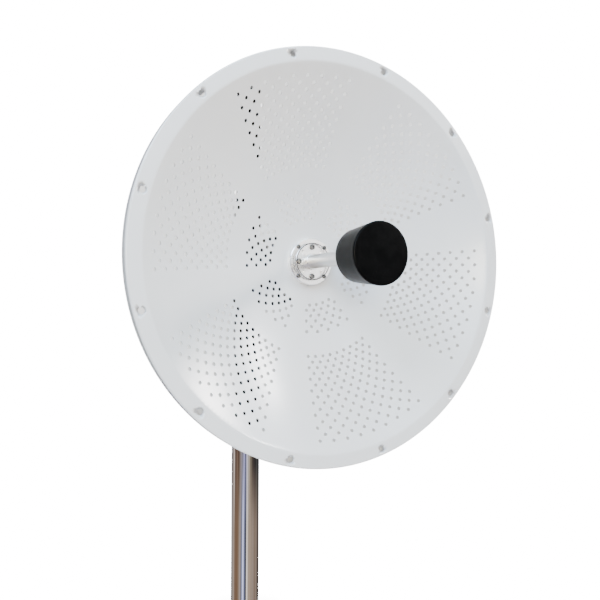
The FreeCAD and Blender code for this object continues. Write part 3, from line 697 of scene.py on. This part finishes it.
# the mirrored room, by compass direction: degrees from straight ahead of the dish towards +X
SKY = (0.30, 0.30, 0.31, 1.0)
WALLS = [
    (-180, (1.2, 1.2, 1.2)), (-150, (1.0, 1.0, 1.0)), (-136, (0.5, 0.5, 0.5)), (-126, (0.04, 0.04, 0.04)),
    (-80, (0.03, 0.028, 0.026)), (-60, (0.3, 0.3, 0.3)), (60, (0.3, 0.29, 0.28)), (84, (0.04, 0.04, 0.04)),
    (110, (0.10, 0.10, 0.10)), (140, (0.6, 0.6, 0.6)), (180, (1.2, 1.2, 1.2)),
]
NEAR_GROUND = [
    (-180, (0.3, 0.28, 0.27)), (-166, (0.2, 0.19, 0.18)), (-154, (0.5, 0.45, 0.42)),
    (-140, (0.32, 0.27, 0.24)), (-127, (0.62, 0.5, 0.42)), (-116, (0.3, 0.2, 0.14)),
    (-104, (0.26, 0.16, 0.105)), (-86, (0.27, 0.165, 0.1)), (-74, (0.38, 0.28, 0.21)),
    (-62, (0.58, 0.48, 0.44)), (-54, (0.2, 0.19, 0.22)), (-47, (0.3, 0.32, 0.42)), (-38, (1.35, 1.42, 2.3)),
    (-32, (0.7, 0.75, 1.1)), (-25, (0.16, 0.17, 0.26)), (-17, (0.07, 0.08, 0.12)),
    (-12, (0.14, 0.14, 0.16)), (-6, (1.7, 1.55, 1.4)), (-2, (1.3, 1.1, 0.95)), (4, (0.62, 0.5, 0.41)),
    (14, (0.52, 0.4, 0.3)), (22, (0.62, 0.46, 0.36)), (30, (0.44, 0.34, 0.26)), (40, (0.48, 0.37, 0.3)),
    (50, (0.42, 0.33, 0.27)), (62, (0.36, 0.27, 0.21)), (71, (0.28, 0.2, 0.15)), (82, (0.42, 0.33, 0.27)),
    (92, (0.25, 0.2, 0.165)), (108, (0.12, 0.1, 0.085)), (125, (0.05, 0.045, 0.04)),
    (180, (0.3, 0.28, 0.27)),
]
FAR_GROUND = [
    (-180, (0.2, 0.19, 0.18)), (-166, (0.16, 0.15, 0.14)), (-150, (0.35, 0.31, 0.29)),
    (-136, (0.35, 0.3, 0.27)), (-125, (1.3, 1.1, 1)), (-118, (0.5, 0.4, 0.34)), (-112, (0.14, 0.09, 0.07)),
    (-101, (0.18, 0.115, 0.085)), (-91, (0.32, 0.21, 0.155)), (-81, (0.145, 0.085, 0.055)),
    (-72, (0.2, 0.14, 0.11)), (-63, (0.33, 0.27, 0.245)), (-55, (0.48, 0.42, 0.45)),
    (-46, (0.3, 0.285, 0.35)), (-38, (0.4, 0.385, 0.55)), (-30, (0.75, 0.75, 1.35)),
    (-22, (0.03, 0.03, 0.07)), (-14, (0.5, 0.5, 0.72)), (-6, (1.1, 1.07, 1.2)), (2, (0.57, 0.53, 0.49)),
    (11, (0.72, 0.62, 0.5)), (19, (0.24, 0.2, 0.15)), (28, (0.245, 0.205, 0.16)),
    (37, (0.105, 0.085, 0.068)), (47, (0.062, 0.048, 0.043)), (57, (0.066, 0.055, 0.052)),
    (67, (0.02, 0.019, 0.018)), (79, (0.08, 0.08, 0.08)), (93, (0.078, 0.078, 0.078)),
    (110, (0.008, 0.008, 0.008)), (150, (0.05, 0.05, 0.05)), (180, (0.2, 0.19, 0.18)),
]


def room():
    """What the camera sees behind the object is white; what the metal mirrors is a dim warm room with a few
    dark and bright uprights."""
    world = bpy.data.worlds.new("studio")
    bpy.context.scene.world = world
    world.use_nodes = True
    tree = world.node_tree
    tree.nodes.clear()

    def node(kind, **values):
        n = tree.nodes.new(kind)
        for key, value in values.items():
            setattr(n, key, value)
        return n

    def put(socket, value):
        if isinstance(value, bpy.types.NodeSocket):
            tree.links.new(value, socket)
        else:
            socket.default_value = value

    def calc(op, *args):
        n = node("ShaderNodeMath", operation=op)
        for k, a in enumerate(args):
            put(n.inputs[k], a)
        return n.outputs[0]

    def dot(vector):
        n = node("ShaderNodeVectorMath", operation="DOT_PRODUCT")
        tree.links.new(way, n.inputs[0])
        n.inputs[1].default_value = vector
        return n.outputs["Value"]

    def span(value, low, high, a, b, smooth=False):
        n = node("ShaderNodeMapRange")
        if smooth:
            n.interpolation_type = "SMOOTHSTEP"
        put(n.inputs["Value"], value)
        for key, v in (("From Min", low), ("From Max", high), ("To Min", a), ("To Max", b)):
            put(n.inputs[key], v)
        return n.outputs[0]

    def mix(factor, a, b):
        n = node("ShaderNodeMix", data_type="RGBA")
        for socket, v in ((n.inputs[0], factor), (n.inputs[6], a), (n.inputs[7], b)):
            put(socket, v)
        return n.outputs[2]

    def ramp(value, stops):
        n = node("ShaderNodeValToRGB")
        while len(n.color_ramp.elements) < len(stops):
            n.color_ramp.elements.new(0.5)
        for e, (degrees, colour) in zip(n.color_ramp.elements, stops):
            e.position = (degrees + 180.0) / 360.0
            e.color = (*colour, 1.0)
        put(n.inputs[0], value)
        return n.outputs[0]

    way = node("ShaderNodeTexCoord").outputs["Generated"]
    split = node("ShaderNodeSeparateXYZ")
    tree.links.new(way, split.inputs[0])
    x, y, z = split.outputs
    azimuth = calc("ARCTAN2", x, calc("MULTIPLY", y, -1.0))
    turn = calc("ADD", calc("DIVIDE", azimuth, 2 * math.pi), 0.5)
    ground = mix(span(z, -0.34, -0.25, 0.0, 1.0), ramp(turn, NEAR_GROUND), ramp(turn, FAR_GROUND))
    walls = mix(span(z, -0.235, -0.205, 0.0, 1.0), ground, ramp(turn, WALLS))
    mirror = mix(span(z, 0.36, 0.60, 0.0, 1.0), walls, SKY)

    # what shows through the holes of the sheet: painted shade, a grey room with its darker half to the lower
    # right as the photo's camera sees it, measured against the outline of the rim from there
    outline = []
    for k in range(72):
        t = math.radians(5 * k)
        p = Vector((AX + RIM_R * math.cos(t), RIM_Y + 0.003, AZ + RIM_R * math.sin(t))) - eye
        outline.append((p.dot(right) / p.dot(forward), p.dot(above) / p.dot(forward)))
    middle = [(min(q[i] for q in outline) + max(q[i] for q in outline)) / 2 for i in range(2)]
    half = [(max(q[i] for q in outline) - min(q[i] for q in outline)) / 2 for i in range(2)]
    ahead = calc("MAXIMUM", dot(forward), 0.01)
    u = calc("DIVIDE", calc("SUBTRACT", calc("DIVIDE", dot(right), ahead), middle[0]), half[0])
    v = calc("DIVIDE", calc("SUBTRACT", calc("DIVIDE", dot(above), ahead), middle[1]), half[1])
    spread = calc("SQRT", calc("ADD", calc("MULTIPLY", u, u), calc("MULTIPLY", v, v)))
    near_dish = span(spread, 1.1, 1.5, 1.0, 0.0, True)
    # painted shade: darker towards the lower right of the rim's outline, lighter to the upper left
    slant = calc("SUBTRACT", v, calc("MULTIPLY", u, 0.6))
    tone = span(slant, -0.20, 0.06, *HOLE_SHADE_PATCH, True)
    tone = span(near_dish, 0.0, 1.0, HOLE_SHADE_TONE, tone)
    path = node("ShaderNodeLightPath")
    through = calc("GREATER_THAN", path.outputs["Transparent Depth"], 0.5)
    shown = span(through, 0.0, 1.0, WHITE, tone)

    seen = node("ShaderNodeBackground")
    seen.inputs["Color"].default_value = (1, 1, 1, 1)
    tree.links.new(shown, seen.inputs["Strength"])
    lit = node("ShaderNodeBackground")
    tree.links.new(mirror, lit.inputs["Color"])
    both = node("ShaderNodeMixShader")
    tree.links.new(path.outputs["Is Camera Ray"], both.inputs[0])
    tree.links.new(lit.outputs[0], both.inputs[1])
    tree.links.new(seen.outputs[0], both.inputs[2])
    out = node("ShaderNodeOutputWorld")
    tree.links.new(both.outputs[0], out.inputs[0])


room()


# ---------------------------------------------------------------- what the holes show
def clear():
    """Fully see-through: it changes no colour, and only marks the rays that pass through it."""
    g = Graph("clear_marker")
    glass = g.tree.nodes.new("ShaderNodeBsdfTransparent")
    g.link(glass.outputs[0], g.out.inputs[0])
    return g.mat


def hole_marker():
    """Lighting aid, not part of the object: an invisible skin inside the thickness of the sheet, bare only in
    the holes. Camera rays that pass through it see the backdrop grey, as the room in the photo does: painted
    shade."""
    bands = [[0.058 + 0.240 * k / 24 for k in range(25)], [0.3075, 0.3195]]
    verts, faces = [], []
    for band in bands:
        section = [(r, sheet_profile(r)[0] + SHEET / 2 * math.hypot(1.0, sheet_profile(r)[1])) for r in band]
        v, f = lathe(section, (AX, 0, AZ), (0, 1, 0), 240, closed=False)
        faces += [tuple(i + len(verts) for i in face) for face in f]
        verts += v
    mesh = bpy.data.meshes.new("hole_marker")
    mesh.from_pydata([tuple(v) for v in verts], [], faces)
    mesh.materials.append(clear())
    obj = bpy.data.objects.new("hole_marker", mesh)
    bpy.context.scene.collection.objects.link(obj)
    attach(obj, "dish")
    for ray in ("diffuse", "glossy", "transmission", "volume_scatter", "shadow"):
        setattr(obj, "visible_" + ray, False)


hole_marker()


# ---------------------------------------------------------------- lamps
def lamp(name, azimuth, height, distance, width, tall, power, colour=(1, 1, 1)):
    """Soft box aimed at the dish; azimuth and height in degrees, azimuth from straight ahead towards +X."""
    a, e = math.radians(azimuth), math.radians(height)
    target = Vector((AX, -0.15, AZ))
    away = Vector((math.sin(a) * math.cos(e), -math.cos(a) * math.cos(e), math.sin(e)))
    return area(name, target + away * distance, target, width, tall, power, colour)


def only(lamps, objects, state):
    """The lamps light only these objects (INCLUDE) or everything but these (EXCLUDE)."""
    group = bpy.data.collections.new("lamp_" + state.lower())
    for obj in objects:
        group.objects.link(obj)
    for member in group.collection_objects:
        member.light_linking.link_state = state
    for obj in lamps:
        obj.light_linking.receiver_collection = group


# the lamps in front don't light the mast, which only mirrors the room
front = [
    lamp("window_front", -24, 4, 2.4, 0.5, 0.5, 33, (1.0, 0.86, 0.64)),
    lamp("left_soft", -50, 34, 2.4, 1.1, 1.1, 72, (0.60, 0.76, 1.0)),
    lamp("top_soft", 0, 64, 2.2, 1.4, 1.4, 58, (0.66, 0.86, 1.0)),
    lamp("window_right_a", 71, 24, 2.4, 0.30, 0.40, 30, (1.0, 0.92, 0.88)),
    lamp("window_right_b", 52, 24, 2.4, 0.14, 0.40, 20, (1.0, 0.95, 0.93)),
    lamp("front_soft", -22, 14, 2.4, 1.0, 1.0, 16, (0.86, 0.96, 1.0)),
]
only(front, [mast], "EXCLUDE")
hub_names = ["hub_ring", "feed_flange", "ring_screws", "flange_screws", "feed_tube", "set_screw"]
only([lamp("hub_card", 26, 8, 2.4, 1.3, 1.3, 14)], [nodes[n] for n in hub_names], "INCLUDE")
lamp("back_left", -140, 25, 2.6, 1.4, 1.4, 30)
lamp("back_right", 140, 25, 2.6, 1.4, 1.4, 30)

# a black flag just in front of the mast, seen only in reflections, so that the tube is dark behind the dish:
# painted shade in the mast's reflection
flag = card("flag", (0, -0.034, 0.655), 0.7, 0.63, plain("black_flag", 0.02))
for ray in ("camera", "diffuse", "transmission", "volume_scatter", "shadow"):
    setattr(flag, "visible_" + ray, False)
